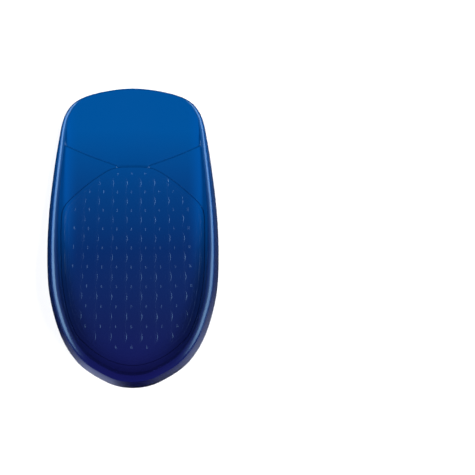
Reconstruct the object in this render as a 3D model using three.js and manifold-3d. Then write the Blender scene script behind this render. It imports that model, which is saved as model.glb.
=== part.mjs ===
// Heel cup: a soft gel cup that lies in a shoe under the heel, foot side up.
// Millimetres. +Y points to the toe, +X to the right, +Z up. The flat sole lies
// on Z = 0, and the origin is under the middle of the cup.
import * as THREE from 'three';
import { mergeVertices } from 'three/addons/utils/BufferGeometryUtils.js';
import Module from 'manifold-3d';

const wasm = await Module();
wasm.setup();

// Overall size of the cup.
const cupLength = 106.6;
const cupWidth = 61;
const frontThickness = 1.6;
const heelThickness = 6.5;
const soleEdgeRadius = 0.8;

// Wall that stands round the heel and dies away towards the front.
const heelWallRise = 9.4;
const heelWallLean = 2.3;
const rimWidth = 0.8;
const rimRounding = 0.35;
const innerWallSlope = 62;
const wallShoulder = 2.2;

// Horns: the front ends of the wall's foot, a small step above the front flap.
const hornStep = 0.5;
const hornTipAhead = 26.3;
const hornTipAside = 7.1;
const hornRootAhead = 34.2;
const hornRootAside = 26.6;
const hornBow = 0.5;

// Oval relief pad, laid in a pocket in the floor of the cup.
const padFrontAhead = 25.3;
const padHeelBehind = 45.3;
const padWidth = 51;
const padThickness = 1.8;
const padClearance = 0.3;
const borderBeadInset = 1.6;
const borderBeadWidth = 0.5;
const borderBeadHeight = 0.22;

// Cast relief on the pad: columns that fan out from a far point ahead of the toe.
const columnPitch = 4.83;
const rowPitch = 6.43;
const fanRadius = 426;
const firstRowAhead = 22.8;
const fieldInsetFront = 2.2;
const fieldInsetHeel = 3.3;
const waveWidth = 0.6;
const waveHeight = 0.35;
const backWaveHeight = 0.25;
const waveRunAcross = 0.4;
const waveRunAlong = 0.38;
const waveCentreAcross = 0.23;
const backWaveCentreAcross = 0.03;
const dotDiameter = 1.2;
const dotHeight = 0.45;
const beadDiameterAcross = 0.6;
const beadDiameterAlong = 1.5;
const beadHeight = 0.2;
const beadCentreAcross = 0.26;
const reliefRoot = 0.4;

const stepsRoundCup = 80;
const stepsRoundPad = 56;
const stepsAlongWave = 4;

// Half outlines from the front centre to the heel, as shares of half the length
// and half the width.
const cupOutline = [
  { along: 1.0, across: 0.0 },
  { along: 0.974, across: 0.378 },
  { along: 0.934, across: 0.6 },
  { along: 0.894, across: 0.704 },
  { along: 0.84, across: 0.775 },
  { along: 0.774, across: 0.822 },
  { along: 0.655, across: 0.865 },
  { along: 0.415, across: 0.93 },
  { along: 0.16, across: 0.98 },
  { along: -0.122, across: 1.0 },
  { along: -0.345, across: 0.982 },
  { along: -0.505, across: 0.926 },
  { along: -0.664, across: 0.832 },
  { along: -0.784, across: 0.71 },
  { along: -0.864, across: 0.582 },
  { along: -0.944, across: 0.366 },
  { along: -0.985, across: 0.2 },
  { along: -1.0, across: 0.0 },
];

const padOutline = [
  { along: 1.0, across: 0.0 },
  { along: 0.982, across: 0.28 },
  { along: 0.883, across: 0.52 },
  { along: 0.77, across: 0.72 },
  { along: 0.63, across: 0.925 },
  { along: 0.55, across: 0.983 },
  { along: 0.4, across: 1.0 },
  { along: 0.15, across: 1.0 },
  { along: -0.1, across: 0.988 },
  { along: -0.286, across: 0.957 },
  { along: -0.479, across: 0.9 },
  { along: -0.6, across: 0.84 },
  { along: -0.7, across: 0.77 },
  { along: -0.785, across: 0.655 },
  { along: -0.867, across: 0.518 },
  { along: -0.924, across: 0.392 },
  { along: -0.975, across: 0.215 },
  { along: -1.0, across: 0.0 },
];

// Wall from the heel to the front: its rise above the floor as a share of the
// rise at the heel, and how far it leans in as a share of the lean at the heel.
const wallStations = [
  { along: -1.0, rise: 1.0, lean: 1.0 },
  { along: -0.66, rise: 0.91, lean: 0.8 },
  { along: -0.375, rise: 0.77, lean: 0.55 },
  { along: -0.11, rise: 0.6, lean: 0.44 },
  { along: 0.15, rise: 0.42, lean: 0.38 },
  { along: 0.38, rise: 0.27, lean: 0.32 },
  { along: 0.64, rise: 0.14, lean: 0.24 },
  { along: 1.0, rise: 0.02, lean: 0.16 },
];

// Floor of the cup: one plane that rises from the front edge to the heel.
const floorSlope = (heelThickness - frontThickness) / cupLength;
const flapTop = (ahead) => frontThickness + (cupLength / 2 - ahead) * floorSlope;
const floorTop = (ahead) => flapTop(ahead) + hornStep;
const floorTilt = Math.atan(floorSlope);

const padMiddle = (padFrontAhead - padHeelBehind) / 2;
const padHalfLength = (padFrontAhead + padHeelBehind) / 2;

// A column of the wall table at any place, on a smooth curve through its rows.
function wallShare(ahead, column) {
  const along = THREE.MathUtils.clamp(ahead / (cupLength / 2), -1, 1);
  const rows = wallStations;
  let row = 0;
  while (row < rows.length - 2 && rows[row + 1].along < along) row += 1;
  const slopeAt = (k) => {
    const before = rows[Math.max(k - 1, 0)];
    const after = rows[Math.min(k + 1, rows.length - 1)];
    return (after[column] - before[column]) / (after.along - before.along);
  };
  const start = rows[row];
  const end = rows[row + 1];
  const span = end.along - start.along;
  const s = (along - start.along) / span;
  const startWeight = 2 * s ** 3 - 3 * s ** 2 + 1;
  const endWeight = 1 - startWeight;
  const startSlope = (s ** 3 - 2 * s ** 2 + s) * span * slopeAt(row);
  const endSlope = (s ** 3 - s ** 2) * span * slopeAt(row + 1);
  return startWeight * start[column] + endWeight * end[column] + startSlope + endSlope;
}

// A closed outline as evenly spaced points, the front centre first, clockwise
// seen from above.
function outlinePoints(table, halfLength, halfWidth, middle, steps) {
  const place = (row, side) =>
    new THREE.Vector3(side * row.across * halfWidth, middle + row.along * halfLength, 0);
  const right = table.map((row) => place(row, 1));
  const left = table.slice(1, -1).reverse().map((row) => place(row, -1));
  const curve = new THREE.CatmullRomCurve3([...right, ...left], true, 'centripetal');
  return curve.getSpacedPoints(steps).slice(0, steps);
}

// The way in from an outline point, square to the outline.
function inwardAt(points, k) {
  const before = points[(k + points.length - 1) % points.length];
  const after = points[(k + 1) % points.length];
  const tangent = after.clone().sub(before).normalize();
  return new THREE.Vector3(tangent.y, -tangent.x, 0);
}

function insetPoints(points, distanceAt) {
  return points.map((point, k) =>
    point.clone().addScaledVector(inwardAt(points, k), distanceAt(point)));
}

// Where a ray from the centre towards the given point leaves the outline.
function rayToOutline(outline, centre, towards) {
  const dx = towards.x - centre.x;
  const dy = towards.y - centre.y;
  for (let k = 0; k < outline.length; k += 1) {
    const a = outline[k];
    const b = outline[(k + 1) % outline.length];
    const ex = b.x - a.x;
    const ey = b.y - a.y;
    const det = dx * ey - dy * ex;
    const t = ((a.x - centre.x) * ey - (a.y - centre.y) * ex) / det;
    const s = ((a.x - centre.x) * dy - (a.y - centre.y) * dx) / det;
    if (t > 0 && s >= 0 && s <= 1) {
      return new THREE.Vector3(centre.x + t * dx, centre.y + t * dy, 0);
    }
  }
  return centre.clone();
}

function isInside(outline, x, y) {
  let inside = false;
  outline.forEach((a, k) => {
    const b = outline[(k + 1) % outline.length];
    const crosses = a.y > y !== b.y > y;
    if (crosses && x < a.x + ((y - a.y) / (b.y - a.y)) * (b.x - a.x)) inside = !inside;
  });
  return inside;
}

// A closed body through a stack of rings, shut by a fan at each end.
function bodyFromRings(rings, firstCentre, lastCentre) {
  const steps = rings[0].length;
  const corners = [firstCentre, ...rings.flat(), lastCentre];
  const corner = (ring, k) => 1 + ring * steps + (k % steps);
  const faces = [];
  for (let k = 0; k < steps; k += 1) {
    faces.push(0, corner(0, k), corner(0, k + 1));
    for (let ring = 0; ring < rings.length - 1; ring += 1) {
      faces.push(corner(ring, k), corner(ring + 1, k), corner(ring, k + 1));
      faces.push(corner(ring, k + 1), corner(ring + 1, k), corner(ring + 1, k + 1));
    }
    faces.push(corners.length - 1, corner(rings.length - 1, k + 1), corner(rings.length - 1, k));
  }
  const geometry = new THREE.BufferGeometry().setFromPoints(corners);
  geometry.setIndex(faces);
  return geometry;
}

function toSolid(geometry) {
  const plain = geometry.clone();
  plain.deleteAttribute('normal');
  plain.deleteAttribute('uv');
  const merged = mergeVertices(plain, 1e-5);
  return new wasm.Manifold(new wasm.Mesh({
    numProp: 3,
    vertProperties: new Float32Array(merged.attributes.position.array),
    triVerts: new Uint32Array(merged.index.array),
  }));
}

function toGeometry(solid) {
  const mesh = solid.getMesh();
  const geometry = new THREE.BufferGeometry();
  geometry.setAttribute('position', new THREE.BufferAttribute(mesh.vertProperties, 3));
  geometry.setIndex(new THREE.BufferAttribute(mesh.triVerts, 1));
  geometry.computeVertexNormals();
  return geometry;
}

const padEdge = outlinePoints(padOutline, padHalfLength, padWidth / 2, padMiddle, stepsRoundPad);

// The cup before the flap is lowered: sole, outer wall, rim, hollow inner wall,
// floor and pocket, each ring worked out from the outline.
function buildCupBody() {
  const outline = outlinePoints(cupOutline, cupLength / 2, cupWidth / 2, 0, stepsRoundCup);
  const centre = new THREE.Vector3(0, padMiddle, 0);
  const pocketEdge = insetPoints(padEdge, () => -padClearance);
  const rise = (point) => wallShare(point.y, 'rise') * heelWallRise;
  const lean = (point) => wallShare(point.y, 'lean') * heelWallLean;
  const rimTop = (point) => floorTop(point.y) + rise(point);
  const lift = (points, heightAt) =>
    points.map((point, k) => new THREE.Vector3(point.x, point.y, heightAt(outline[k], point)));

  const soleRing = lift(insetPoints(outline, () => soleEdgeRadius), () => 0);
  const edgeRing = lift(outline, () => soleEdgeRadius);
  const bellyRing = lift(
    insetPoints(outline, (point) => lean(point) * 0.35),
    (point) => soleEdgeRadius + (rimTop(point) - rimRounding - soleEdgeRadius) * 0.5,
  );
  const rimOuterRing = lift(insetPoints(outline, lean), (point) => rimTop(point) - rimRounding);
  const rimCrestRing = lift(
    insetPoints(outline, (point) => lean(point) + rimWidth / 2),
    (point) => rimTop(point),
  );
  const rimInner = insetPoints(outline, (point) => lean(point) + rimWidth);
  const rimInnerRing = lift(rimInner, (point) => rimTop(point) - rimRounding);

  const pocketRing = outline.map((point) => rayToOutline(pocketEdge, centre, point));
  const steepness = Math.tan(THREE.MathUtils.degToRad(innerWallSlope));
  const wallFoot = rimInner.map((point, k) => {
    const room = point.distanceTo(pocketRing[k]);
    const run = Math.min(rise(outline[k]) / steepness, room * 0.9);
    return point.clone().lerp(pocketRing[k], run / room);
  });
  const wallRings = [0.3, 0.55, 0.8, 1].map((share) =>
    rimInner.map((point, k) => {
      const place = point.clone().lerp(wallFoot[k], share);
      const top = rimTop(outline[k]) - rimRounding;
      const foot = floorTop(wallFoot[k].y);
      place.z = foot + (top - foot) * (1 - share ** wallShoulder);
      return place;
    }));
  const floorRings = [0.5, 1].map((share) =>
    wallFoot.map((point, k) => {
      const place = point.clone().lerp(pocketRing[k], share);
      place.z = floorTop(place.y);
      return place;
    }));
  const pocketDepth = padThickness + padClearance;
  const pocketFloor = pocketRing.map((point) =>
    new THREE.Vector3(point.x, point.y, floorTop(point.y) - pocketDepth));
  const pocketCentre = new THREE.Vector3(0, padMiddle, floorTop(padMiddle) - pocketDepth);

  return bodyFromRings(
    [soleRing, edgeRing, bellyRing, rimOuterRing, rimCrestRing, rimInnerRing,
      ...wallRings, ...floorRings, pocketFloor],
    new THREE.Vector3(0, 0, 0),
    pocketCentre,
  );
}

// What is taken off the front to leave the flap: everything above the flap's
// plane ahead of the two horns, and the strip between the horn tips.
function buildFlapRecess() {
  const beyond = cupWidth;
  const ahead = hornRootAhead - hornTipAhead;
  const aside = hornRootAside - hornTipAside;
  const shape = new THREE.Shape();
  const edge = [-1, 1].map((side) => ({
    tip: [side * hornTipAside, hornTipAhead],
    bow: [side * (hornTipAside + aside * 0.6), hornTipAhead + ahead * 0.6 - hornBow],
    root: [side * hornRootAside, hornRootAhead],
    out: [side * beyond, hornRootAhead + ((beyond - hornRootAside) * ahead) / aside],
  }));
  const pocketSide = padFrontAhead - padClearance - 1;
  shape.moveTo(...edge[0].out);
  [edge[0].root, edge[0].bow, edge[0].tip].forEach((corner) => shape.lineTo(...corner));
  shape.lineTo(edge[0].tip[0], pocketSide);
  shape.lineTo(edge[1].tip[0], pocketSide);
  [edge[1].tip, edge[1].bow, edge[1].root, edge[1].out].forEach((corner) =>
    shape.lineTo(...corner));
  shape.lineTo(beyond, cupLength);
  shape.lineTo(-beyond, cupLength);
  shape.closePath();
  const block = new THREE.ExtrudeGeometry(shape, { depth: cupWidth, bevelEnabled: false });
  const shear = new THREE.Matrix4().makeShear(0, 0, 0, -floorSlope, 0, 0);
  block.applyMatrix4(shear);
  block.translate(0, 0, flapTop(0));
  return block;
}

function buildCup() {
  return toGeometry(toSolid(buildCupBody()).subtract(toSolid(buildFlapRecess())));
}

// The place on the pad of a point of the relief, given in columns and rows.
function fanPoint(column, row) {
  const growth = 1 + rowPitch / fanRadius;
  const radius = fanRadius * growth ** row;
  const angle = (column * columnPitch) / fanRadius;
  const poleAhead = firstRowAhead + fanRadius;
  return new THREE.Vector2(radius * Math.sin(angle), poleAhead - radius * Math.cos(angle));
}

// Flat shapes rise from just under the pad's face to the given height.
function raised(shape, height) {
  const depth = reliefRoot + height;
  const geometry = new THREE.ExtrudeGeometry(shape, { depth, bevelEnabled: false });
  return geometry.translate(0, 0, padThickness - reliefRoot);
}

function roundShape(centre, across, along, corners) {
  const shape = new THREE.Shape();
  for (let k = 0; k < corners; k += 1) {
    const turn = (2 * Math.PI * (k + 0.5)) / corners;
    const x = centre.x + (across / 2) * Math.cos(turn);
    const y = centre.y + (along / 2) * Math.sin(turn);
    if (k === 0) shape.moveTo(x, y);
    else shape.lineTo(x, y);
  }
  shape.closePath();
  return shape;
}

// One half-round wave: facing is 1 for a wave that bulges to the right of its
// dot and -1 for one that bulges to the left.
function wavePath(centreColumn, centreRow, facing) {
  const path = [];
  for (let k = 0; k <= stepsAlongWave; k += 1) {
    const turn = Math.PI * (k / stepsAlongWave - 0.5);
    const column = centreColumn + facing * waveRunAcross * Math.cos(turn);
    path.push(fanPoint(column, centreRow + waveRunAlong * Math.sin(turn)));
  }
  return path;
}

function waveShape(path) {
  const sideOf = (k) => {
    const before = path[Math.max(k - 1, 0)];
    const after = path[Math.min(k + 1, path.length - 1)];
    const tangent = after.clone().sub(before).normalize();
    return new THREE.Vector2(-tangent.y, tangent.x).multiplyScalar(waveWidth / 2);
  };
  const near = path.map((point, k) => point.clone().add(sideOf(k)));
  const far = path.map((point, k) => point.clone().sub(sideOf(k))).reverse();
  return new THREE.Shape([...near, ...far]);
}

function buildRelief() {
  const field = insetPoints(padEdge, (point) => {
    const share = (point.y + padHeelBehind) / (padFrontAhead + padHeelBehind);
    return THREE.MathUtils.lerp(fieldInsetHeel, fieldInsetFront, share);
  });
  const fits = (points) => points.every((point) => isInside(field, point.x, point.y));
  const rows = Math.ceil((firstRowAhead + padHeelBehind) / rowPitch);
  const reach = Math.ceil(padWidth / 2 / columnPitch);
  const pieces = [];
  for (let row = -1; row <= rows; row += 1) {
    for (let column = -reach; column <= reach; column += 1) {
      const dot = fanPoint(column, row);
      if (fits([dot])) pieces.push(raised(roundShape(dot, dotDiameter, dotDiameter, 6), dotHeight));
      const bead = fanPoint(column + beadCentreAcross, row + 0.5);
      if (fits([bead])) {
        pieces.push(raised(roundShape(bead, beadDiameterAcross, beadDiameterAlong, 6), beadHeight));
      }
      const wave = wavePath(column + waveCentreAcross, row + 0.5, 1);
      if (fits(wave)) pieces.push(raised(waveShape(wave), waveHeight));
      const backWave = wavePath(column + backWaveCentreAcross, row, -1);
      if (fits(backWave)) pieces.push(raised(waveShape(backWave), backWaveHeight));
    }
  }
  return pieces;
}

function buildBorderBead() {
  const outer = insetPoints(padEdge, () => borderBeadInset);
  const inner = insetPoints(padEdge, () => borderBeadInset + borderBeadWidth);
  const shape = new THREE.Shape(outer);
  shape.holes.push(new THREE.Path(inner.reverse()));
  return raised(shape, borderBeadHeight);
}

function buildPad() {
  const plate = new THREE.ExtrudeGeometry(new THREE.Shape(padEdge), {
    depth: padThickness,
    bevelEnabled: false,
  });
  const solids = [plate, buildBorderBead(), ...buildRelief()].map(toSolid);
  return toGeometry(wasm.Manifold.union(solids));
}

const cup = new THREE.Mesh(
  buildCup(),
  new THREE.MeshStandardMaterial({ color: 0x0c4690, roughness: 0.22, metalness: 0 }),
);
cup.name = 'gel_cup';

// The pad is made flat and tilted to lie along the cup's floor.
const pad = new THREE.Mesh(
  buildPad(),
  new THREE.MeshStandardMaterial({ color: 0x0d377e, roughness: 0.26, metalness: 0 }),
);
pad.name = 'relief_pad';
pad.rotation.x = -floorTilt;
pad.position.z = floorTop(0) - padThickness;

const heelCup = new THREE.Group();
heelCup.add(cup, pad);

export default heelCup;
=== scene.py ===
"""Heel cup of soft blue gel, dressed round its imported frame.

Metres, +Y to the toe, +X to the right, +Z up. The cup lies foot side up on its flat sole.
"""

import math

import bmesh
import bpy
import numpy as np
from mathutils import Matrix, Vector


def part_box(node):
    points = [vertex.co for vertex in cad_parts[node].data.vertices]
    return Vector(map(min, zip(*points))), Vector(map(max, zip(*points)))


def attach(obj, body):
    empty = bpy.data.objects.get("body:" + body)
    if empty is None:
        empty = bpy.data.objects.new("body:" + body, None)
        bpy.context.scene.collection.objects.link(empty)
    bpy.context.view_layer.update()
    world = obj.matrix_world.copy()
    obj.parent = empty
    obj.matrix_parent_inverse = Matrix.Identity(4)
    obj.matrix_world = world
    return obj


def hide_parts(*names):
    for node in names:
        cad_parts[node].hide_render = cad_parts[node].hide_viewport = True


bl_info = {
    "name": "Heel Cup",
    "version": (1, 0, 0),
    "blender": (4, 5, 0),
    "location": "View3D > Sidebar > Heel Cup",
    "description": "Builds a soft gel heel cup with its relief pad, and a plain studio round it",
    "category": "Add Mesh",
}

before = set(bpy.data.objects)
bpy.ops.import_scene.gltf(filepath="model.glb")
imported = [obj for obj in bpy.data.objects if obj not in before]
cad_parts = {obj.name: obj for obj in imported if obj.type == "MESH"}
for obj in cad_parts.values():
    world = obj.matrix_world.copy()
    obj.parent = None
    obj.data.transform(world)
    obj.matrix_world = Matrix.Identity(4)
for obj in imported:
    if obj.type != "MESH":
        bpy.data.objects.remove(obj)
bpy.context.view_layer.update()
CUP_LOW, CUP_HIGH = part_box("gel_cup")
PAD_LOW, PAD_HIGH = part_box("relief_pad")
BODY = "root"
MM = 0.001
PAD_MIDDLE = (PAD_HIGH[1] + PAD_LOW[1]) / 2
PAD_HALF_LENGTH = (PAD_HIGH[1] - PAD_LOW[1]) / 2
PAD_HALF_WIDTH = (PAD_HIGH[0] - PAD_LOW[0]) / 2

# The view is this many pixels wide and high, and the cup's middle stands at this column and row.
PHOTO_SIDE = 475
CUP_COLUMN, CUP_ROW = 132.75, 238.25
FILM_WIDTH = 36.0

# Half outlines from the front centre to the heel: shares of half the length and half the width.
CUP_OUTLINE = [
    {"along": 1.0, "across": 0.0},
    {"along": 0.974, "across": 0.378},
    {"along": 0.934, "across": 0.6},
    {"along": 0.894, "across": 0.704},
    {"along": 0.84, "across": 0.775},
    {"along": 0.774, "across": 0.822},
    {"along": 0.655, "across": 0.865},
    {"along": 0.415, "across": 0.93},
    {"along": 0.16, "across": 0.98},
    {"along": -0.122, "across": 1.0},
    {"along": -0.345, "across": 0.982},
    {"along": -0.505, "across": 0.926},
    {"along": -0.664, "across": 0.832},
    {"along": -0.784, "across": 0.71},
    {"along": -0.864, "across": 0.582},
    {"along": -0.944, "across": 0.366},
    {"along": -0.985, "across": 0.2},
    {"along": -1.0, "across": 0.0},
]
PAD_OUTLINE = [
    {"along": 1.0, "across": 0.0},
    {"along": 0.982, "across": 0.28},
    {"along": 0.883, "across": 0.52},
    {"along": 0.77, "across": 0.72},
    {"along": 0.63, "across": 0.925},
    {"along": 0.55, "across": 0.983},
    {"along": 0.4, "across": 1.0},
    {"along": 0.15, "across": 1.0},
    {"along": -0.1, "across": 0.988},
    {"along": -0.286, "across": 0.957},
    {"along": -0.479, "across": 0.9},
    {"along": -0.6, "across": 0.84},
    {"along": -0.7, "across": 0.77},
    {"along": -0.785, "across": 0.655},
    {"along": -0.867, "across": 0.518},
    {"along": -0.924, "across": 0.392},
    {"along": -0.975, "across": 0.215},
    {"along": -1.0, "across": 0.0},
]
# The wall from the heel to the front: shares of its rise, its lean and its shoulder at the heel.
WALL_STATIONS = [
    {"along": -1.0, "rise": 1.0, "lean": 0.86, "shoulder": 1.0},
    {"along": -0.91, "rise": 0.98, "lean": 0.79, "shoulder": 1.0},
    {"along": -0.71, "rise": 0.925, "lean": 0.645, "shoulder": 1.0},
    {"along": -0.48, "rise": 0.83, "lean": 0.57, "shoulder": 1.0},
    {"along": -0.28, "rise": 0.715, "lean": 0.55, "shoulder": 1.0},
    {"along": -0.08, "rise": 0.58, "lean": 0.52, "shoulder": 0.88},
    {"along": 0.15, "rise": 0.42, "lean": 0.485, "shoulder": 0.76},
    {"along": 0.38, "rise": 0.27, "lean": 0.42, "shoulder": 0.68},
    {"along": 0.58, "rise": 0.17, "lean": 0.31, "shoulder": 0.64},
    {"along": 0.8, "rise": 0.08, "lean": 0.13, "shoulder": 0.6},
    {"along": 1.0, "rise": 0.02, "lean": 0.05, "shoulder": 0.6},
]


def length(name, description, default):
    """A length in metres for a panel."""
    return bpy.props.FloatProperty(
        name=name, description=description, default=default, min=0.0, precision=5, unit="LENGTH"
    )


def share(name, description, default):
    """A plain share or number for a panel."""
    return bpy.props.FloatProperty(name=name, description=description, default=default, precision=3)


def angle(name, description, degrees):
    """An angle for a panel."""
    return bpy.props.FloatProperty(
        name=name, description=description, default=math.radians(degrees), subtype="ANGLE"
    )


def colour(name, description, default):
    """A colour for a panel."""
    return bpy.props.FloatVectorProperty(
        name=name, description=description, default=default, size=3, min=0.0, max=1.0, subtype="COLOR"
    )


class HeelCupSizes(bpy.types.PropertyGroup):
    """Sizes of the gel moulding and its pad."""

    cup_length: length("Cup length", "Front edge to heel", CUP_HIGH[1] - CUP_LOW[1])
    cup_width: length("Cup width", "Widest place across", CUP_HIGH[0] - CUP_LOW[0])
    cup_height: length("Cup height", "Sole to the rim at the heel", CUP_HIGH[2] - CUP_LOW[2])
    front_thickness: length("Front thickness", "Flap at its front edge", 1.6 * MM)
    heel_thickness: length("Heel thickness", "Floor at the heel, without the step", 6.5 * MM)
    sole_edge: length("Sole edge", "Rounding of the sole's edge", 0.6 * MM)
    wall_lean: length("Wall lean", "How far the wall leans in at the heel", 2.9 * MM)
    shoulder_width: length("Shoulder width", "Soft shoulder inside the rim", 2.2 * MM)
    shoulder_start: angle("Shoulder start", "Slope of the shoulder at the rim", 11)
    shoulder_end: angle("Shoulder end", "Slope of the shoulder at its foot", 36)
    inner_slope: angle("Inner slope", "Slope of the wall's inside below the shoulder", 84)
    flap_lip: length("Flap lip", "Height of the soft lip round the flap", 0.5 * MM)
    horn_step: length("Horn step", "Height of the horns above the flap", 0.5 * MM)
    horn_tip_ahead: length("Horn tip ahead", "Horn tip ahead of the middle", 26.3 * MM)
    horn_tip_aside: length("Horn tip aside", "Horn tip beside the middle", 7.1 * MM)
    horn_root_ahead: length("Horn root ahead", "Horn root ahead of the middle", 34.2 * MM)
    horn_root_aside: length("Horn root aside", "Horn root beside the middle", 26.6 * MM)
    horn_bow: length("Horn bow", "How far the horn's front edge bows back", 0.4 * MM)
    crease_depth: length("Crease depth", "Depth of the crease ahead of the horns", 0.1 * MM)
    pocket_gap: length("Pocket gap", "Clearance round the pad", 0.05 * MM)
    pocket_depth: length("Pocket depth", "Depth of the pad's pocket", 2.1 * MM)
    pad_thickness: length("Pad thickness", "Pad without its relief", 1.8 * MM)
    pad_bevel: length("Pad bevel", "Width of the slope at the pad's edge", 0.15 * MM)
    pad_bevel_drop: length("Pad bevel drop", "Fall of the slope at the pad's edge", 0.2 * MM)
    border_inset: length("Border inset", "From the pad's edge to its first fine bead", 1.6 * MM)
    border_spacing: length("Border spacing", "From the first fine bead to the second", 1.4 * MM)
    border_width: length("Border width", "Width of a fine bead", 0.7 * MM)
    border_height: length("Border height", "Height of a fine bead", 0.055 * MM)
    column_pitch: length("Column pitch", "Relief columns at the first row", 4.83 * MM)
    row_pitch: length("Row pitch", "First row to the second", 6.43 * MM)
    fan_radius: length("Fan radius", "First row to the point that the columns leave", 426 * MM)
    fan_aside: length("Fan aside", "How far left of the middle the middle column lies", 0.4 * MM)
    first_row: length("First row", "First row of dots ahead of the middle", 22.8 * MM)
    wave_outside: length("Wave outside", "Half width on the bowed side of a wave", 0.42 * MM)
    wave_inside: length("Wave inside", "Half width on the hollow side of a wave", 0.65 * MM)
    wave_height: length("Wave height", "Height of a wave", 0.078 * MM)
    wave_fade: share("Wave fade", "Share of a wave's height lost at its ends", 0.6)
    back_wave_height: length("Back wave height", "Height of a wave that faces left", 0.06 * MM)
    dot_half_width: length("Dot half width", "Half width of a dot", 0.33 * MM)
    dot_height: length("Dot height", "Height of a dot", 0.058 * MM)
    bead_half_width: length("Bead half width", "Half width of a small bead", 0.33 * MM)
    bead_height: length("Bead height", "Height of a small bead", 0.04 * MM)


class HeelCupFinish(bpy.types.PropertyGroup):
    """Colours and gloss of the gel."""

    flap_blue: colour("Flap blue", "Thin gel at the front", (0.0, 0.0435, 0.17))
    arch_blue: colour("Arch blue", "Gel under the arch", (0.0007, 0.0235, 0.107))
    floor_blue: colour("Floor blue", "Gel in the middle of the floor", (0.0014, 0.0125, 0.071))
    heel_navy: colour("Heel navy", "Thick gel under the heel", (0.0034, 0.0078, 0.052))
    heel_indigo: colour("Heel indigo", "Thickest gel behind the heel", (0.0042, 0.0046, 0.051))
    heel_rim: colour("Heel rim", "Gel of the rim behind the heel", (0.0026, 0.0037, 0.046))
    # Painted light: this lighter blue is painted on the floor near the sides, for light carried
    # through the gel and to lift the shade by the wall's foot.
    glow: colour("Glow", "Light that the gel carries to its sides", (0.0, 0.048, 0.21))
    sheen_tint: colour("Sheen tint", "Tint of the gel's shine seen straight on", (0.36, 0.66, 1.0))
    roughness: share("Roughness", "Softness of the reflections", 0.16)
    gloss: share("Gloss", "Strength of the reflections", 0.5)


class HeelCupStudio(bpy.types.PropertyGroup):
    """Floor, lights and camera."""

    floor_colour: colour("Floor", "Plain pale floor", (0.95, 0.95, 0.95))
    left_power: bpy.props.FloatProperty(
        name="Left light", description="Soft light on the left", default=17.0, unit="POWER"
    )
    right_power: bpy.props.FloatProperty(
        name="Right light", description="Soft light on the right", default=19.0, unit="POWER"
    )
    light_lift: angle("Light lift", "Height of each light above the floor", 53)
    light_distance: length("Light distance", "From the cup to each light", 1.2)
    light_width: length("Light width", "Width of each light", 0.47)
    light_length: length("Light length", "Length of each light", 1.3)
    photo_scale: length("Photo scale", "Real size of one pixel of the view", 0.355 * MM)
    lens: bpy.props.FloatProperty(
        name="Lens", description="Focal length", default=500.0, unit="CAMERA"
    )


def sizes():
    return bpy.context.scene.heel_cup_sizes


def finish():
    return bpy.context.scene.heel_cup_finish


def studio():
    return bpy.context.scene.heel_cup_studio


# Outlines and levels

# Points between two rows of an outline's table, before they are spaced evenly.
CURVE_STEPS = 40


def smooth_outline(table, half_length, half_width, middle, steps):
    """Evenly spaced points of a closed outline, the front centre first, clockwise from above."""
    right = [(row["across"] * half_width, middle + row["along"] * half_length) for row in table]
    left = [(-x, y) for x, y in reversed(right[1:-1])]
    posts = np.array(right + left)
    count = len(posts)
    fine = []
    for k in range(count):
        before, start, end, after = (posts[(k + i) % count] for i in (-1, 0, 1, 2))
        gaps = [np.linalg.norm(b - a) ** 0.5 for a, b in ((before, start), (start, end), (end, after))]
        pace = (end - start) / gaps[1]
        leave = (start - before) / gaps[0] - (end - before) / (gaps[0] + gaps[1]) + pace
        reach = pace - (after - start) / (gaps[1] + gaps[2]) + (after - end) / gaps[2]
        leave, reach = leave * gaps[1], reach * gaps[1]
        t = np.linspace(0, 1, CURVE_STEPS, endpoint=False)[:, None]
        fine.append(
            start
            + leave * t
            + (3 * (end - start) - 2 * leave - reach) * t**2
            + (2 * (start - end) + leave + reach) * t**3
        )
    fine = np.concatenate(fine + [posts[:1]])
    run = np.concatenate([[0], np.cumsum(np.linalg.norm(np.diff(fine, axis=0), axis=1))])
    at = np.linspace(0, run[-1], steps, endpoint=False)
    return np.stack([np.interp(at, run, fine[:, i]) for i in (0, 1)], axis=1)


def pad_outline(steps):
    return smooth_outline(PAD_OUTLINE, PAD_HALF_LENGTH, PAD_HALF_WIDTH, PAD_MIDDLE, steps)


def inward(points):
    """Unit vectors square to a closed clockwise outline, pointing in."""
    along = np.roll(points, -1, axis=0) - np.roll(points, 1, axis=0)
    along /= np.linalg.norm(along, axis=1)[:, None]
    return np.stack([along[:, 1], -along[:, 0]], axis=1)


def wall_share(y, column):
    """A column of the wall table at any place, on a smooth curve through its rows."""
    along = np.array([row["along"] for row in WALL_STATIONS])
    value = np.array([row[column] for row in WALL_STATIONS])
    slope = np.gradient(value, along)
    at = np.clip(y / (sizes().cup_length / 2), -1, 1)
    k = np.clip(np.searchsorted(along, at) - 1, 0, len(along) - 2)
    span = along[k + 1] - along[k]
    t = (at - along[k]) / span
    lift = 3 * t**2 - 2 * t**3
    bend = (t**3 - 2 * t**2 + t) * slope[k] + (t**3 - t**2) * slope[k + 1]
    return value[k] + (value[k + 1] - value[k]) * lift + span * bend


def soft_step(x, low, high):
    t = np.clip((x - low) / (high - low), 0, 1)
    return t * t * (3 - 2 * t)


def flap_level(y):
    """Height of the flap's face, a plane that rises towards the heel."""
    s = sizes()
    slope = (s.heel_thickness - s.front_thickness) / s.cup_length
    return s.front_thickness + (s.cup_length / 2 - y) * slope


def floor_level(y):
    return flap_level(y) + sizes().horn_step


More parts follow.
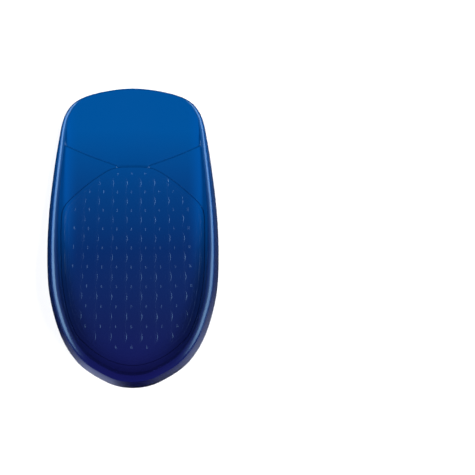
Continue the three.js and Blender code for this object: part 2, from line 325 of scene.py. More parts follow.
def rays_to(outline, centre, points):
    """Where the rays from the centre through the points leave the outline."""
    edge = np.roll(outline, -1, axis=0) - outline
    gap = outline - centre
    found = np.empty_like(points)
    for k, point in enumerate(points):
        ray = point - centre
        turn = ray[0] * edge[:, 1] - ray[1] * edge[:, 0]
        t = (gap[:, 0] * edge[:, 1] - gap[:, 1] * edge[:, 0]) / turn
        s = (gap[:, 0] * ray[1] - gap[:, 1] * ray[0]) / turn
        hit = np.where((t > 0) & (s >= 0) & (s <= 1), t, np.inf)
        found[k] = centre + ray * hit.min()
    return found


# Meshes


def loft(name, rings):
    """A closed shape: a circle is extruded ring by ring, and each ring is laid on its places."""
    shape = bmesh.new()
    around = shape.verts.layers.int.new("around")
    first = bmesh.ops.create_circle(shape, cap_ends=True, segments=len(rings[0]), radius=1.0)
    for k, vert in enumerate(first["verts"]):
        vert[around] = k
        vert.co = rings[0][k]
    edges = shape.edges[:]
    for ring in rings[1:]:
        grown = bmesh.ops.extrude_edge_only(shape, edges=edges)["geom"]
        for vert in (part for part in grown if isinstance(part, bmesh.types.BMVert)):
            vert.co = ring[vert[around]]
        edges = [part for part in grown if isinstance(part, bmesh.types.BMEdge) and part.is_boundary]
    bmesh.ops.contextual_create(shape, geom=edges)
    shape.verts.layers.int.remove(around)
    return finish_mesh(name, shape)


def finish_mesh(name, shape):
    """The bmesh as an object in the scene, smooth, with its faces out."""
    bmesh.ops.recalc_face_normals(shape, faces=shape.faces)
    for face in shape.faces:
        face.smooth = True
    mesh = bpy.data.meshes.new(name)
    shape.to_mesh(mesh)
    shape.free()
    piece = bpy.data.objects.new(name, mesh)
    bpy.context.scene.collection.objects.link(piece)
    return piece


# Gel cup

# Across the horns' edge, from the flap to the horn: the place in millimetres, the share of the
# step and the share of the crease's depth.
CREASE = [
    {"at": -0.8, "step": 0.0, "depth": 0.0},
    {"at": -0.55, "step": 0.0, "depth": 0.12},
    {"at": -0.38, "step": 0.0, "depth": 0.6},
    {"at": -0.24, "step": 0.0, "depth": 1.0},
    {"at": -0.1, "step": 0.12, "depth": 0.9},
    {"at": 0.04, "step": 0.45, "depth": 0.3},
    {"at": 0.18, "step": 0.78, "depth": 0.0},
    {"at": 0.34, "step": 0.94, "depth": 0.0},
    {"at": 0.55, "step": 1.0, "depth": 0.0},
]
CUP_STEPS = 560
# The outer wall follows this much of a quarter oval, in degrees, up to the rim's corner.
WALL_TURNS = (8, 17, 26, 34, 42, 49, 55, 60, 64, 67, 70)
# The rim's corner, its middle ring in shares of it, and the narrowest gap between two rings.
CORNER = 0.12 * MM
CORNER_IN, CORNER_DOWN = 0.35, 0.3
SLIVER = 0.012 * MM
# The sole's first ring lies this many edge roundings in, and the rounding has this many rings.
SOLE_INSET = 3
SOLE_RINGS = 6
# The crease dies out over this length where it nears the wall or the pocket.
CREASE_FADE = 0.8 * MM
CREASE_NEAR = 0.1 * MM
# Between the horn tips the flap climbs to the pad: the share of the step and how far ahead.
PAD_RAMP = 0.85
PAD_RAMP_RUN = 0.8 * MM
POCKET_LIP_DROP = 0.05 * MM
# The most of the wall's height inside that its soft shoulder takes.
SHOULDER_SHARE = 0.93
# The most of the way to the pocket that the wall takes, and the least run of its steep face.
WALL_ROOM = 0.92
STEEP_RUN = 0.2 * MM
# Rings of the wall's inside, as shares of the shoulder's width and of the steep face's run.
SHOULDER_AT = (0.08, 0.2, 0.34, 0.48, 0.62, 0.76, 0.9, 1.0)
STEEP_AT = (0.12, 0.3, 0.5, 0.7, 0.85, 0.93, 0.98, 1.0)
# How much the steep face eases off towards its foot.
FOOT_EASE = 0.2
# The lowest rings that are fitted to the floor's slope.
FITTED_RINGS = 6
# Rings on the flap between the wall and the crease, as shares of the way.
FLAP_AT = (0.25, 0.5, 0.75)
# Rings from the horns' edge to the pocket: the share of the way, and how many slivers short.
FLOOR_AT = ((0.35, 4.0), (0.75, 4.0), (1.0, 4.0), (1.0, 2.2), (1.0, 1.0))
SPARE_SLIVERS = 4
# The wall melts into the flap's lip over this stretch, and the horns' step crosses it here.
COLLAR_START, COLLAR_END = 33.0 * MM, 44.0 * MM
ROOT_START, ROOT_END = 33.6 * MM, 34.8 * MM
# The flap's lip dies down over this stretch to this share of its height.
LIP_FADE_START, LIP_FADE_END = 45.0 * MM, 51.0 * MM
LIP_AT_FRONT = 0.25
# The horns' edge is drawn this far past its root and its tip, in shares of its length.
EDGE_START, EDGE_END = -0.3, 1.2
EDGE_STEPS = 46
# Rays that miss the horns' edge cross the flap alone within this many times the tip's angle.
FRONT_SPREAD = 1.5


def horn_edge():
    """The horns' front edge on the right, from beyond the rim past the tip to the pad."""
    s = sizes()
    t = np.linspace(EDGE_START, EDGE_END, EDGE_STEPS)
    aside = s.horn_root_aside + (s.horn_tip_aside - s.horn_root_aside) * t
    ahead = s.horn_root_ahead + (s.horn_tip_ahead - s.horn_root_ahead) * t
    bow = s.horn_bow * np.sin(np.clip(t, 0, 1) * math.pi)
    return np.stack([aside, ahead - bow], axis=1)


def crease_places(foot, pocket):
    """How far in from the wall's foot the horns' edge lies, on the way to the pocket."""
    edge = horn_edge()
    way = pocket - foot
    room = np.linalg.norm(way, axis=1)
    place = np.zeros(len(foot))
    tip = math.atan2(edge[-1, 0], edge[-1, 1] - PAD_MIDDLE)
    for k, (start, step) in enumerate(zip(foot, way)):
        side = 1 if start[0] >= 0 else -1
        ahead = edge[:-1] * (side, 1)
        along = edge[1:] * (side, 1) - ahead
        turn = step[0] * along[:, 1] - step[1] * along[:, 0]
        gap = ahead - start
        t = (gap[:, 0] * along[:, 1] - gap[:, 1] * along[:, 0]) / turn
        s = (gap[:, 0] * step[1] - gap[:, 1] * step[0]) / turn
        hit = t[(s >= 0) & (s <= 1) & (t >= 0) & (t <= 1)]
        if len(hit):
            place[k] = hit[0] * room[k]
        elif start[1] > sizes().horn_tip_ahead:
            turned = abs(math.atan2(start[0], start[1] - PAD_MIDDLE))
            place[k] = room[k] if turned < tip * FRONT_SPREAD else 0.0
    return place, room


def wall_rings(top, foot_level, room, shoulder):
    """Insets and heights of the wall's inside: a soft shoulder and a steep face."""
    s = sizes()
    start, end = math.tan(s.shoulder_start), math.tan(s.shoulder_end)
    mean = (start + end) / 2
    rise = top - foot_level
    width = np.minimum(shoulder, rise * SHOULDER_SHARE / mean)
    drop = width * mean
    steep_run = (rise - drop) / math.tan(s.inner_slope)
    steep_run = np.minimum(steep_run, np.maximum(room * WALL_ROOM - width, STEEP_RUN))
    for t in SHOULDER_AT:
        yield width * t, top - drop * (start * t + (end - start) * t * t / 2) / mean
    for t in STEEP_AT:
        eased = (1 - FOOT_EASE) * t + FOOT_EASE * (1 - (1 - t) ** 2)
        yield width + steep_run * t, top - drop - (rise - drop) * eased


def cup_rings():
    """The rings of the cup from the middle of the sole round the rim to the pocket's floor."""
    s = sizes()
    outline = smooth_outline(CUP_OUTLINE, s.cup_length / 2, s.cup_width / 2, 0.0, CUP_STEPS)
    into = inward(outline)
    y = outline[:, 1]
    collar = 1 - soft_step(y, COLLAR_START, COLLAR_END)
    behind = 1 - soft_step(y, ROOT_START, ROOT_END)
    lean = wall_share(y, "lean") * s.wall_lean
    rise = wall_share(y, "rise") * (s.cup_height - s.heel_thickness - s.horn_step)
    rings = []

    def ring(inset, height):
        flat = outline + into * np.reshape(inset, (-1, 1))
        rings.append(np.column_stack([flat, np.broadcast_to(height, len(flat))]))

    ring(s.sole_edge * SOLE_INSET, 0.0)
    for turn in np.linspace(0, math.pi / 2, SOLE_RINGS):
        ring(s.sole_edge * (1 - math.sin(turn)), s.sole_edge * (1 - math.cos(turn)))
    lip = s.flap_lip * (1 - (1 - LIP_AT_FRONT) * soft_step(y, LIP_FADE_START, LIP_FADE_END))
    top = flap_level(y) + lip + (s.horn_step + rise - lip) * collar
    last_turn = math.radians(WALL_TURNS[-1])
    for degrees in WALL_TURNS:
        turn = math.radians(degrees)
        climbed = (top - CORNER - s.sole_edge) * math.sin(turn) / math.sin(last_turn)
        ring(lean * (1 - math.cos(turn)) / (1 - math.cos(last_turn)), s.sole_edge + climbed)
    ring(lean + CORNER * CORNER_IN, top - CORNER * CORNER_DOWN)
    ring(lean + CORNER, top)

    centre = np.array([0.0, PAD_MIDDLE])
    pad = pad_outline(CUP_STEPS)
    pocket = rays_to(pad - inward(pad) * s.pocket_gap, centre, outline)
    crest = rings[-1][:, :2].copy()
    room = np.linalg.norm(pocket - crest, axis=1)
    level = flap_level(crest[:, 1]) + s.horn_step * behind
    shoulder = s.shoulder_width * wall_share(y, "shoulder")
    for inset, height in wall_rings(top, level, room, shoulder):
        rings.append(np.column_stack([crest + into * inset[:, None], height]))
    foot = rings[-1][:, :2]
    shift = flap_level(foot[:, 1]) - flap_level(crest[:, 1])
    for k in range(FITTED_RINGS):
        rings[-1 - k][:, 2] += shift * (1 - k / FITTED_RINGS)
    way = pocket - foot
    way /= np.linalg.norm(way, axis=1)[:, None]

    place, left = crease_places(foot, pocket)
    horn = soft_step(place, 0.0, CREASE_FADE)
    flap_only = soft_step(left - place, CREASE_NEAR, CREASE_FADE)

    def floor_ring(distance, step, depth):
        flat = foot + way * distance[:, None]
        ramp = PAD_RAMP * (1 - soft_step(left - distance, 0.0, PAD_RAMP_RUN)) * (1 - flap_only)
        lifted = (1 - horn) + horn * np.maximum(flap_only * step, ramp)
        groove = s.crease_depth * depth * horn * flap_only
        height = flap_level(flat[:, 1]) + s.horn_step * lifted - groove
        rings.append(np.column_stack([flat, height]))

    floor_ring(np.full(len(foot), SLIVER / 2), 0.0, 0.0)
    for part in FLAP_AT:
        least = SLIVER * part * SPARE_SLIVERS
        floor_ring(np.maximum((place - CREASE_FADE) * part, least), 0.0, 0.0)
    for k, row in enumerate(CREASE):
        low = SLIVER * (k + SPARE_SLIVERS)
        high = left - SLIVER * (len(CREASE) - k + SPARE_SLIVERS)
        floor_ring(np.clip(place + row["at"] * MM, low, high), row["step"], row["depth"])
    last = np.linalg.norm(rings[-1][:, :2] - foot, axis=1)
    for part, short in FLOOR_AT:
        floor_ring(last + (left - SLIVER * short - last) * part, 1.0, 0.0)
    edge = rings[-1].copy()
    edge[:, :2] = pocket
    edge[:, 2] -= POCKET_LIP_DROP
    rings.append(edge)
    deep = edge.copy()
    deep[:, 2] = floor_level(deep[:, 1]) - s.pocket_depth
    rings.append(deep)
    return rings


# Relief pad

# How many dots stand on each side of the middle column, row by row from the front.
DOT_REACH = (1, 3, 4, 4, 4, 4, 4, 3, 3, 1)
# The columns of waves between two rows of dots: this many left of the middle and one fewer right.
WAVE_REACH = (3, 4, 4, 4, 4, 4, 4, 4, 3)


# Places in columns and rows from a dot: the middle of its wave's bow, how far that reaches, the
# wave's way from the dot to the bow, and the bead between two dots.
BOW_MIDDLE = (0.23, 0.5)
BOW_REACH = (0.4, 0.38)
WAVE_START = [(0.07, 0.04), (0.15, 0.085)]
BEAD = np.array([0.26, 0.5])
# Half the height of the upright short figures, in rows.
DOT_RISE = 0.06
BEAD_RISE = 0.09


def wave_path():
    """A wave from its dot round to the next dot in its column, in columns and rows from the dot."""
    turns = np.radians(np.arange(-90, 91, 10))
    across = BOW_MIDDLE[0] + BOW_REACH[0] * np.cos(turns)
    down = BOW_MIDDLE[1] + BOW_REACH[1] * np.sin(turns)
    back = [(column, 1 - row) for column, row in reversed(WAVE_START)]
    return np.array([*WAVE_START, *zip(across, down), *back])


WAVE = wave_path()
# A back wave is the same wave turned half round, from bead to bead round a dot's left side.
BACK_WAVE = BEAD - WAVE


def gap_to_outline(points, outline):
    """How far each point lies from a closed outline."""
    best = np.full(len(points), np.inf)
    for a, b in zip(outline, np.roll(outline, -1, axis=0)):
        along = b - a
        t = np.clip(((points - a) @ along) / (along @ along), 0, 1)
        best = np.minimum(best, np.linalg.norm(points - a - t[:, None] * along, axis=1))
    return best


def fan_columns(x, y):
    """The column and row of a place on the pad, in the fan that the relief follows."""
    s = sizes()
    pole = s.first_row + s.fan_radius
    radius = np.hypot(x + s.fan_aside, pole - y)
    row = np.log(radius / s.fan_radius) / math.log(1 + s.row_pitch / s.fan_radius)
    column = np.arctan2(x + s.fan_aside, pole - y) * s.fan_radius / s.column_pitch
    return column, row


def gap_to_path(points, path):
    """How far each point lies from an open path, and whether it lies on its hollow side."""
    best = np.full(len(points), np.inf)
    hollow = np.zeros(len(points), dtype=bool)
    for a, b in zip(path, path[1:]):
        along, out = b - a, points - a
        t = np.clip((out @ along) / (along @ along), 0, 1)
        gap = np.linalg.norm(out - t[:, None] * along, axis=1)
        nearer = gap < best
        best[nearer] = gap[nearer]
        hollow[nearer] = (along[0] * out[:, 1] - along[1] * out[:, 0] > 0)[nearer]
    return best, hollow


def round_ridge(gap, half_width):
    """Height from 0 to 1 of a round ridge, from how far a place is from its middle."""
    return np.clip(1 - (gap / half_width) ** 2, 0, 1) ** 1.5


def relief_figures():
    """The figures, each with its path, the columns and rows by which it leads its cell, the
    columns shown in each row, its two half widths, its height, its fade and its splits."""
    s = sizes()
    dots = {j: range(-n, n + 1) for j, n in enumerate(DOT_REACH)}
    waves = {j: range(-n, n) for j, n in enumerate(WAVE_REACH)}
    beads = {j: range(-n, n + 1) for j, n in enumerate(WAVE_REACH)}
    backs = {j: range(-min(n, 4) + 1, n + 1) for j, n in enumerate(DOT_REACH) if 0 < j < 9}
    dot = np.array([(0.0, -DOT_RISE), (0.0, DOT_RISE)])
    bead = BEAD + np.array([(0.0, -BEAD_RISE), (0.0, BEAD_RISE)])
    dot_half, bead_half = (s.dot_half_width,) * 2, (s.bead_half_width,) * 2
    wave_half = (s.wave_outside, s.wave_inside)
    return [
        (dot, (0.5, 0.5), dots, dot_half, s.dot_height, 0.0, 3),
        (bead, (0.24, 0.0), beads, bead_half, s.bead_height, 0.0, 1),
        (WAVE, (0.2, 0.0), waves, wave_half, s.wave_height, s.wave_fade, 2),
        (BACK_WAVE, (0.6, 0.5), backs, wave_half, s.back_wave_height, s.wave_fade, 1),
    ]


# How far beyond a figure's foot its cells are split once, twice and three times.
DETAIL_MARGIN = (0.1 * MM, 0.03 * MM, 0.0)
# On its hollow side a wave is split more than once only this near its crest, as a share of the
# bowed side's half width. Each further split also needs this much more of the full height.
STEEP_SHARE = 0.3
FADED_SHARE = 0.35
# The pad's borders: points of the outline that they follow, and the inner one's share of height.
BORDER_STEPS = 160
INNER_BORDER = 0.8


def relief_height(points):
    """How far the pad's face stands up at each place, and how often its cell is to be split."""
    s = sizes()
    edge = gap_to_outline(points, pad_outline(BORDER_STEPS))
    height = np.zeros(len(points))
    detail = np.zeros(len(points), dtype=int)
    inner_inset = s.border_inset + s.border_spacing
    for inset, strength in ((s.border_inset, 1.0), (inner_inset, INNER_BORDER)):
        gap = np.abs(edge - inset)
        ridge = round_ridge(gap, s.border_width / 2) * s.border_height * strength
        height = np.maximum(height, ridge)
        detail[gap - s.border_width / 2 < DETAIL_MARGIN[0]] = 1
    column, row = fan_columns(points[:, 0], points[:, 1])
    growth = (1 + s.row_pitch / s.fan_radius) ** row
    for path, (lead, rows_up), shown, (outside, inside), tall, fade, finest in relief_figures():
        c = np.floor(column + lead).astype(int)
        r = np.floor(row + rows_up).astype(int)
        here = np.array([i in shown.get(j, ()) for i, j in zip(c.tolist(), r.tolist())])
        cell = np.stack([(column - c)[here], (row - r)[here]], axis=1)
        pitch = np.array([s.column_pitch, s.row_pitch])
        gap, hollow = gap_to_path(cell * pitch, path * pitch)
        gap *= growth[here]
        half_width = np.where(hollow, inside, outside)
        middle, reach = path[:, 1].mean(), np.ptp(path[:, 1]) / 2
        strength = 1 - fade * np.clip(np.abs(cell[:, 1] - middle) / reach, 0, 1) ** 2
        ridge = round_ridge(gap, half_width) * tall * strength
        height[here] = np.maximum(height[here], ridge)
        foot = gap - half_width
        splits = np.zeros(len(gap), dtype=int)
        splits[foot < DETAIL_MARGIN[0]] = 1
        steep = ~hollow | (gap < outside * STEEP_SHARE) | (inside == outside)
        for k in range(1, finest):
            tall_enough = strength > FADED_SHARE * (k - 0.5)
            splits[steep & tall_enough & (foot < DETAIL_MARGIN[k])] = k + 1
        detail[here] = np.maximum(detail[here], splits)
    return height, detail


PAD_COLUMNS = 104
PAD_ROWS = 144
REACH_STEPS = 1600
# Keeps the pad's very middle from being divided by nothing.
NOT_ZERO = 1e-9
# A slope is read this far to each side of its place.
PROBE = 0.06 * MM
# A face belongs to the pad's top if it looks up at least this much.
TOP_FACE = 0.85


def pad_level(points):
    """Height of the pad's face at each place, with its relief."""
    return floor_level(points[:, 1]) + relief_height(points)[0]


def pad_reach(x, y, inset=0.0):
    """From the pad's middle to its outline, drawn in by the inset, towards each place."""
    outline = pad_outline(REACH_STEPS)
    outline = outline + inward(outline) * inset - (0.0, PAD_MIDDLE)
    turned = np.arctan2(outline[:, 0], outline[:, 1])
    order = np.argsort(turned)
    reach = np.hypot(outline[:, 0], outline[:, 1])[order]
    return np.interp(np.arctan2(x, y), turned[order], reach, period=2 * math.pi)


def square_to_pad(square):
    """Places of a square of side 2, drawn to the pad's face without a seam or a pole."""
    u, v = square[:, 0], square[:, 1]
    x, y = u * np.sqrt(1 - v**2 / 2), v * np.sqrt(1 - u**2 / 2)
    out = np.hypot(x, y)
    x, y = x * PAD_HALF_WIDTH, y * PAD_HALF_LENGTH
    grow = out * pad_reach(x, y, sizes().pad_bevel) / np.maximum(np.hypot(x, y), NOT_ZERO)
    return np.stack([x * grow, PAD_MIDDLE + y * grow], axis=1)


def flat_places(verts):
    """Where the points lie, seen from above."""
    return np.array([vert.co[:2] for vert in verts])


def pad_skirt(shape, rim, drop):
    """Grows the rim out to the pad's outline, dropped below the floor, and gives the new rim."""
    grown = bmesh.ops.extrude_edge_only(shape, edges=rim)["geom"]
    verts = [part for part in grown if isinstance(part, bmesh.types.BMVert)]
    x, y = (flat_places(verts) - (0.0, PAD_MIDDLE)).T
    grow = pad_reach(x, y) / np.hypot(x, y)
    x, y = x * grow, y * grow + PAD_MIDDLE
    for vert, place in zip(verts, np.stack([x, y, floor_level(y) - drop], axis=1).tolist()):
        vert.co = place
    return [part for part in grown if isinstance(part, bmesh.types.BMEdge) and part.is_boundary]


def true_normals(mesh):
    """Sets the relief's own slope at the corners of the pad's top, so that it shines evenly."""
    places = flat_places(mesh.vertices)
    step_x, step_y = np.array([PROBE, 0.0]), np.array([0.0, PROBE])
    slope_x = (pad_level(places + step_x) - pad_level(places - step_x)) / (2 * PROBE)
    slope_y = (pad_level(places + step_y) - pad_level(places - step_y)) / (2 * PROBE)
    upward = np.stack([-slope_x, -slope_y, np.ones(len(places))], axis=1)
    upward /= np.linalg.norm(upward, axis=1)[:, None]
    corners = []
    for face in mesh.polygons:
        top = face.normal.z > TOP_FACE
        corners += [upward[k] if top else face.normal for k in face.vertices]
    mesh.normals_split_custom_set(corners)


def pad_piece():
    """The pad: a grid drawn to the oval, split finer where figures stand, then raised by them."""
    s = sizes()
    shape = bmesh.new()
    bmesh.ops.create_grid(shape, x_segments=PAD_COLUMNS, y_segments=PAD_ROWS, size=1.0)
    for vert, (x, y) in zip(shape.verts, square_to_pad(flat_places(shape.verts)).tolist()):
        vert.co = (x, y, 0.0)
    for splits in range(1, len(DETAIL_MARGIN) + 1):
        middles = np.array([face.calc_center_median()[:2] for face in shape.faces])
        detail = relief_height(middles)[1].tolist()
        faces = [face for face, wanted in zip(shape.faces, detail) if wanted >= splits]
        edges = list({edge for face in faces for edge in face.edges})
        bmesh.ops.subdivide_edges(shape, edges=edges, cuts=1, use_grid_fill=True)
    for vert, z in zip(shape.verts, pad_level(flat_places(shape.verts)).tolist()):
        vert.co.z = z
    rim = [edge for edge in shape.edges if edge.is_boundary]
    rim = pad_skirt(shape, rim, s.pad_bevel_drop)
    rim = pad_skirt(shape, rim, s.pad_thickness)
    bmesh.ops.contextual_create(shape, geom=rim)
    piece = finish_mesh("relief_pad_gel", shape)
    true_normals(piece.data)
    return piece


# Materials

# The painted side light: how far out it starts and is full, and how far ahead, back to front.
PAINTED_LIGHT_ASIDE = (19 * MM, 27 * MM)
PAINTED_LIGHT_AHEAD = (-20 * MM, 18 * MM)
PAINTED_LIGHT_AT_HEEL = 0.08
# The painted light shows on faces that look up: none at the first of these shares, all at the second.
PAINTED_LIGHT_UPWARD = (0.9, 0.99)
# How much the colour and the roughness drift from place to place.
COLOUR_DRIFT = 0.05
ROUGHNESS_DRIFT = (-0.03, 0.04)
GRAIN_DEPTH = 0.03 * MM


class Nodes:
    """A material's node tree, filled one node at a time."""

    def __init__(self, material):
        material.use_nodes = True
        self.tree = material.node_tree
        self.tree.nodes.clear()

    def add(self, kind, inputs=None, **settings):
        node = self.tree.nodes.new(kind)
        for name, value in settings.items():
            setattr(node, name, value)
        for socket, value in (inputs or {}).items():
            if isinstance(value, bpy.types.NodeSocket):
                self.tree.links.new(value, node.inputs[socket])
            else:
                node.inputs[socket].default_value = value
        return node

    def math(self, operation, *values):
        return self.add("ShaderNodeMath", dict(enumerate(values)), operation=operation).outputs[0]

    def spread(self, value, low, high, start=0.0, end=1.0, kind="LINEAR"):
        """The value from low to high, spread from start to end."""
        inputs = {"Value": value, "From Min": low, "From Max": high, "To Min": start, "To Max": end}
        return self.add("ShaderNodeMapRange", inputs, interpolation_type=kind).outputs[0]

    def ramp(self, value, stops):
        node = self.add("ShaderNodeValToRGB", {"Fac": value})
        elements = node.color_ramp.elements
        while len(elements) < len(stops):
            elements.new(0.5)
        for element, (at, tint) in zip(elements, stops):
            element.position = at
            element.color = (*tint, 1.0)
        return node.outputs["Color"]

    def grey_ramp(self, value, stops):
        return self.ramp(value, [(at, (grey,) * 3) for at, grey in stops])

    def mix_colours(self, factor, first, second):
        inputs = {"Factor": factor, 6: first, 7: second}
        return self.add("ShaderNodeMix", inputs, data_type="RGBA").outputs[2]


def gel_material(name):
    """Glossy blue gel: light where it is thin at the front, navy to indigo where it is thick, with
    painted light near its sides.
    """
    f = finish()
    s = sizes()
    material = bpy.data.materials.new(name)
    nodes = Nodes(material)
    coordinates = nodes.add("ShaderNodeTexCoord").outputs
    place = coordinates["Object"]
    axes = nodes.add("ShaderNodeSeparateXYZ", {0: place}).outputs
    cloud = nodes.add(
        "ShaderNodeTexNoise", {"Vector": place, "Scale": 38.0, "Detail": 2.0, "Roughness": 0.5}
    ).outputs["Fac"]
    drift = nodes.math("SUBTRACT", cloud, 0.5)
    depth = nodes.spread(axes["Y"], s.cup_length / 2, -s.cup_length / 2)
    depth = nodes.math("MULTIPLY_ADD", drift, COLOUR_DRIFT, depth)
    body = nodes.ramp(
        depth,
        [
            (0.14, f.flap_blue),
            (0.36, f.arch_blue),
            (0.54, f.floor_blue),
            (0.78, f.heel_navy),
            (0.95, f.heel_indigo),
            (1.0, f.heel_rim),
        ],
    )
    # Painted light: towards the sides and ahead, on faces that look up, the colour is mixed towards
    # the glow blue.
    aside = nodes.spread(nodes.math("ABSOLUTE", axes["X"]), *PAINTED_LIGHT_ASIDE, kind="SMOOTHSTEP")
    ahead = nodes.spread(axes["Y"], *PAINTED_LIGHT_AHEAD, PAINTED_LIGHT_AT_HEEL, 1.0, "SMOOTHSTEP")
    upward = nodes.add("ShaderNodeSeparateXYZ", {0: coordinates["Normal"]}).outputs["Z"]
    level = nodes.spread(upward, *PAINTED_LIGHT_UPWARD)
    painted_side_light = nodes.math("MULTIPLY", nodes.math("MULTIPLY", aside, ahead), level)
    tint = nodes.mix_colours(painted_side_light, body, (*f.glow, 1.0))
    grain = nodes.add(
        "ShaderNodeTexNoise", {"Vector": place, "Scale": 900.0, "Detail": 3.0, "Roughness": 0.6}
    ).outputs["Fac"]
    bump = nodes.add(
        "ShaderNodeBump", {"Strength": 0.1, "Distance": GRAIN_DEPTH, "Height": grain}
    ).outputs["Normal"]
    smooth, rough = (f.roughness + drift for drift in ROUGHNESS_DRIFT)
    roughness = nodes.spread(cloud, 0.3, 0.7, smooth, rough)
    gel = nodes.add(
        "ShaderNodeBsdfPrincipled",
        {
            "Base Color": tint,
            "Roughness": roughness,
            "IOR": 1.45,
            "Specular IOR Level": f.gloss,
            "Specular Tint": (*f.sheen_tint, 1.0),
            "Normal": bump,
        },
    )
    nodes.add("ShaderNodeOutputMaterial", {"Surface": gel.outputs["BSDF"]})
    return material


def plain_material(name, tint):
    """Dull paint in one colour."""
    material = bpy.data.materials.new(name)
    nodes = Nodes(material)
    paint = nodes.add(
        "ShaderNodeBsdfPrincipled",
        {"Base Color": (*tint, 1.0), "Roughness": 0.9, "Specular IOR Level": 0.1},
    )
    nodes.add("ShaderNodeOutputMaterial", {"Surface": paint.outputs["BSDF"]})
    return material


# Studio

FLOOR_REACH = 6.0
# The sky's greys from place to place: above by height, below by depth, and below on the left and
# on the right by how far behind the cup.
SKY_CLIMB = [(0.26, 0.0), (0.48, 0.28), (0.7, 1.0), (0.9, 0.0)]
SKY_FALL = [(0.35, 0.0), (0.5, 0.5), (0.62, 0.8), (0.8, 0.6), (1.0, 0.22)]
SKY_LEFT = [(0.35, 0.0), (0.6, 0.45), (0.8, 1.0), (0.93, 0.7), (1.0, 0.0)]
SKY_RIGHT = [(0.05, 0.12), (0.36, 0.5), (0.58, 0.7), (0.82, 0.4), (1.0, 0.0)]
GLOWS_ABOVE, GLOWS_BELOW, DARK_SKY = 2.2, 1.25, 0.004
TINT_ABOVE = (0.95, 0.98, 1.04, 1.0)
TINT_BELOW = (0.93, 1.04, 1.55, 1.0)


def sky_strength(nodes, axes):
    """Two broad soft glows beside the cup and two faint ones low behind it, dark elsewhere."""
    x, y, z = axes["X"], axes["Y"], axes["Z"]
    # A little over 1, so that straight up and down nothing is divided by zero.
    flat = nodes.math("SQRT", nodes.math("SUBTRACT", 1.0001, nodes.math("MULTIPLY", z, z)))
    aside = nodes.math("DIVIDE", nodes.math("ABSOLUTE", x), flat)
    beside = nodes.spread(aside, 0.5, 0.95, kind="SMOOTHSTEP")
    above = nodes.math("MULTIPLY", beside, nodes.grey_ramp(z, SKY_CLIMB))
    above = nodes.math("MULTIPLY", above, GLOWS_ABOVE)
    behind = nodes.math("DIVIDE", nodes.math("MULTIPLY", y, -1.0), flat)
    left, right = (nodes.grey_ramp(behind, stops) for stops in (SKY_LEFT, SKY_RIGHT))
    side = nodes.mix_colours(nodes.spread(x, -0.05, 0.05), left, right)
    low = nodes.grey_ramp(nodes.math("MULTIPLY", z, -1.0), SKY_FALL)
    below = nodes.math("MULTIPLY", nodes.math("MULTIPLY", low, side), GLOWS_BELOW)
    return nodes.math("ADD", nodes.math("ADD", above, below), DARK_SKY)


# Operators


class HEELCUP_OT_gel_cup(bpy.types.Operator):
    """Builds the gel moulding: sole, flap, wall, horns and pocket"""

    bl_idname = "heel_cup.gel_cup"
    bl_label = "Gel Cup"

    def execute(self, context):
        piece = loft("gel_cup_moulding", cup_rings())
        piece.data.materials.append(gel_material("gel_shell"))
        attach(piece, BODY)
        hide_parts("gel_cup")
        return {"FINISHED"}


class HEELCUP_OT_relief_pad(bpy.types.Operator):
    """Builds the oval pad with its cast relief"""

    bl_idname = "heel_cup.relief_pad"
    bl_label = "Relief Pad"

    def execute(self, context):
        piece = pad_piece()
        piece.data.materials.append(gel_material("gel_relief"))
        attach(piece, BODY)
        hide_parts("relief_pad")
        return {"FINISHED"}


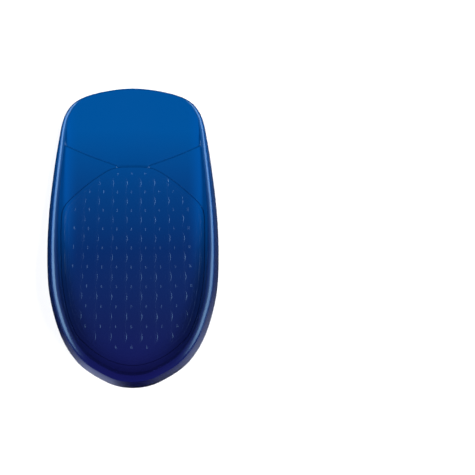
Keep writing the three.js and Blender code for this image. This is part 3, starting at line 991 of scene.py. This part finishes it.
class HEELCUP_OT_studio(bpy.types.Operator):
    """Sets out the pale floor, the soft lights, the sky and the camera"""

    bl_idname = "heel_cup.studio"
    bl_label = "Studio"

    def execute(self, context):
        stage = studio()
        self.lay_floor(stage)
        self.hang_light("left_light", -1, stage.left_power, stage)
        self.hang_light("right_light", 1, stage.right_power, stage)
        self.make_sky(context)
        self.set_camera(context, stage)
        context.scene.view_settings.view_transform = "Standard"
        return {"FINISHED"}

    def lay_floor(self, stage):
        shape = bmesh.new()
        bmesh.ops.create_grid(shape, x_segments=1, y_segments=1, size=FLOOR_REACH)
        floor = finish_mesh("floor", shape)
        floor.data.materials.append(plain_material("floor_paint", stage.floor_colour))
        floor.visible_glossy = False

    def hang_light(self, name, side, power, stage):
        lamp = bpy.data.lights.new(name, "AREA")
        lamp.shape = "RECTANGLE"
        lamp.size = stage.light_width
        lamp.size_y = stage.light_length
        lamp.energy = power
        light = bpy.data.objects.new(name, lamp)
        light.location = (
            side * stage.light_distance * math.cos(stage.light_lift),
            0.0,
            stage.light_distance * math.sin(stage.light_lift),
        )
        light.rotation_euler.y = side * (math.pi / 2 - stage.light_lift)
        bpy.context.scene.collection.objects.link(light)

    def make_sky(self, context):
        sky = bpy.data.worlds.new("studio_sky")
        context.scene.world = sky
        nodes = Nodes(sky)
        ray = nodes.add("ShaderNodeTexCoord").outputs["Generated"]
        axes = nodes.add("ShaderNodeSeparateXYZ", {0: ray}).outputs
        strength = sky_strength(nodes, axes)
        seen = nodes.add("ShaderNodeLightPath").outputs["Is Camera Ray"]
        total = nodes.add(
            "ShaderNodeMix", {0: seen, 2: strength, 3: 1.0}, data_type="FLOAT"
        ).outputs[0]
        tint = nodes.mix_colours(nodes.spread(axes["Z"], 0.0, -0.1), TINT_ABOVE, TINT_BELOW)
        glow = nodes.add("ShaderNodeBackground", {"Color": tint, "Strength": total})
        nodes.add("ShaderNodeOutputWorld", {"Surface": glow.outputs["Background"]})

    def set_camera(self, context, stage):
        data = bpy.data.cameras.new("camera")
        data.lens = stage.lens
        data.sensor_width = FILM_WIDTH
        data.clip_end = 20.0
        camera = bpy.data.objects.new("camera", data)
        scale = stage.photo_scale
        reach = PHOTO_SIDE * scale * stage.lens / FILM_WIDTH
        camera.location = (
            (PHOTO_SIDE / 2 - CUP_COLUMN) * scale,
            (CUP_ROW - PHOTO_SIDE / 2) * scale,
            reach + sizes().heel_thickness,
        )
        context.scene.collection.objects.link(camera)
        context.scene.camera = camera


class HEELCUP_PT_panel(bpy.types.Panel):
    """Lists the pieces and their sizes"""

    bl_idname = "HEELCUP_PT_panel"
    bl_label = "Heel Cup"
    bl_space_type = "VIEW_3D"
    bl_region_type = "UI"
    bl_category = "Heel Cup"

    def draw(self, context):
        scene = context.scene
        for operator in OPERATORS:
            self.layout.operator(operator.bl_idname)
        for group in (scene.heel_cup_sizes, scene.heel_cup_finish, scene.heel_cup_studio):
            box = self.layout.box()
            for name in group.__annotations__:
                box.prop(group, name)


OPERATORS = (HEELCUP_OT_gel_cup, HEELCUP_OT_relief_pad, HEELCUP_OT_studio)
CLASSES = (HeelCupSizes, HeelCupFinish, HeelCupStudio, *OPERATORS, HEELCUP_PT_panel)


def register():
    for item in CLASSES:
        bpy.utils.register_class(item)
    bpy.types.Scene.heel_cup_sizes = bpy.props.PointerProperty(type=HeelCupSizes)
    bpy.types.Scene.heel_cup_finish = bpy.props.PointerProperty(type=HeelCupFinish)
    bpy.types.Scene.heel_cup_studio = bpy.props.PointerProperty(type=HeelCupStudio)


def unregister():
    del bpy.types.Scene.heel_cup_studio
    del bpy.types.Scene.heel_cup_finish
    del bpy.types.Scene.heel_cup_sizes
    for item in reversed(CLASSES):
        bpy.utils.unregister_class(item)


def main():
    register()
    bpy.ops.heel_cup.gel_cup()
    bpy.ops.heel_cup.relief_pad()
    bpy.ops.heel_cup.studio()


if __name__ == "__main__":
    main()
